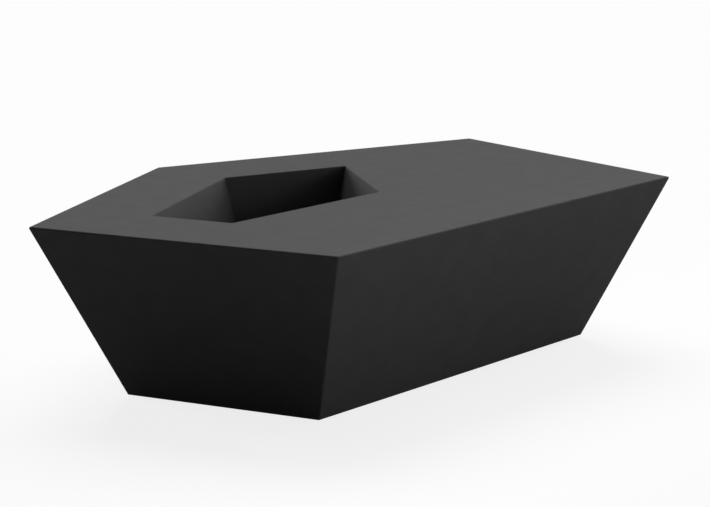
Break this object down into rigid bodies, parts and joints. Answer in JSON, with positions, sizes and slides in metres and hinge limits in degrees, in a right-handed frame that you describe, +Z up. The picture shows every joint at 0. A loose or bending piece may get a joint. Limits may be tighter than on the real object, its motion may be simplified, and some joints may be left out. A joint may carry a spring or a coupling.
{
  "type": "ice bucket coffee table",
  "caption": "Low faceted pentagonal patio table, hollow moulded shell with walls leaning in to the floor, and a sunken drained ice bucket in its deck.",
  "frame": {"origin": "middle of the bounding box, on the floor under the glides", "axes": "+X along the long front edge, towards the right-hand end; +Y towards the back; +Z up"},
  "size_m": [1.4941, 0.9841, 0.36],
  "materials": {
    "shell_polyethylene": "moulded, fine grain",
    "cover_polypropylene": "moulded",
    "pipe_polypropylene": "smooth",
    "nylon": "moulded",
    "stainless_steel": "brushed",
    "zinc_plated_steel": "plated",
    "brass": "turned",
    "rubber_seal": "matte",
    "rubber_stopper": "matte"
  },
  "bodies": {
    "table": {"table_shell": "shell_polyethylene", "glide_inserts": "brass", "drain_body": "stainless_steel", "drain_gasket": "rubber_seal", "drain_washer": "nylon", "drain_locknut": "nylon", "strainer": "stainless_steel", "tail_pipe": "pipe_polypropylene", "access_cover": "cover_polypropylene", "cover_gasket": "rubber_seal", "cover_screws": "stainless_steel", "cover_inserts": "brass", "pipe_grommet": "rubber_seal", "vent_plug": "cover_polypropylene"},
    "stopper": {"drain_stopper": "rubber_stopper"},
    "ring": {"stopper_ring": "stainless_steel"},
    "pad_front_left": {"glide_pad_front_left": "nylon"},
    "stem_front_left": {"glide_stem_front_left": "zinc_plated_steel"},
    "pad_front_right": {"glide_pad_front_right": "nylon"},
    "stem_front_right": {"glide_stem_front_right": "zinc_plated_steel"},
    "pad_back_right": {"glide_pad_back_right": "nylon"},
    "stem_back_right": {"glide_stem_back_right": "zinc_plated_steel"},
    "pad_back": {"glide_pad_back": "nylon"},
    "stem_back": {"glide_stem_back": "zinc_plated_steel"},
    "pad_left": {"glide_pad_left": "nylon"},
    "stem_left": {"glide_stem_left": "zinc_plated_steel"}
  },
  "joints": [
    {"name": "stopper_lift", "type": "slide", "parent": "table", "child": "stopper", "axis": [0, 0, 1], "range_m": [0, 0.27]},
    {"name": "ring_fold", "type": "hinge", "parent": "stopper", "child": "ring", "pos_m": [-0.16741, 0.05122, 0.1163], "axis": [0, -1, 0], "range_deg": [0, 180]},
    {"name": "glide_travel_front_left", "type": "slide", "parent": "table", "child": "pad_front_left", "axis": [0, 0, -1], "range_m": [0, 0.01]},
    {"name": "glide_turn_front_left", "type": "hinge", "parent": "pad_front_left", "child": "stem_front_left", "pos_m": [-0.44936, -0.28919, 0], "axis": [0, 0, -1], "range_deg": [0, 3600]},
    {"name": "glide_travel_front_right", "type": "slide", "parent": "table", "child": "pad_front_right", "axis": [0, 0, -1], "range_m": [0, 0.01]},
    {"name": "glide_turn_front_right", "type": "hinge", "parent": "pad_front_right", "child": "stem_front_right", "pos_m": [0.38031, -0.28919, 0], "axis": [0, 0, -1], "range_deg": [0, 3600]},
    {"name": "glide_travel_back_right", "type": "slide", "parent": "table", "child": "pad_back_right", "axis": [0, 0, -1], "range_m": [0, 0.01]},
    {"name": "glide_turn_back_right", "type": "hinge", "parent": "pad_back_right", "child": "stem_back_right", "pos_m": [0.49562, 0.07875, 0], "axis": [0, 0, -1], "range_deg": [0, 3600]},
    {"name": "glide_travel_back", "type": "slide", "parent": "table", "child": "pad_back", "axis": [0, 0, -1], "range_m": [0, 0.01]},
    {"name": "glide_turn_back", "type": "hinge", "parent": "pad_back", "child": "stem_back", "pos_m": [-0.04324, 0.27292, 0], "axis": [0, 0, -1], "range_deg": [0, 3600]},
    {"name": "glide_travel_left", "type": "slide", "parent": "table", "child": "pad_left", "axis": [0, 0, -1], "range_m": [0, 0.01]},
    {"name": "glide_turn_left", "type": "hinge", "parent": "pad_left", "child": "stem_left", "pos_m": [-0.51748, 0.0548, 0], "axis": [0, 0, -1], "range_deg": [0, 3600]}
  ],
  "couplings": [
    {"joint": "glide_turn_front_left", "follows": "glide_travel_front_left", "rad_per_m": 5026.5},
    {"joint": "glide_turn_front_right", "follows": "glide_travel_front_right", "rad_per_m": 5026.5},
    {"joint": "glide_turn_back_right", "follows": "glide_travel_back_right", "rad_per_m": 5026.5},
    {"joint": "glide_turn_back", "follows": "glide_travel_back", "rad_per_m": 5026.5},
    {"joint": "glide_turn_left", "follows": "glide_travel_left", "rad_per_m": 5026.5}
  ]
}
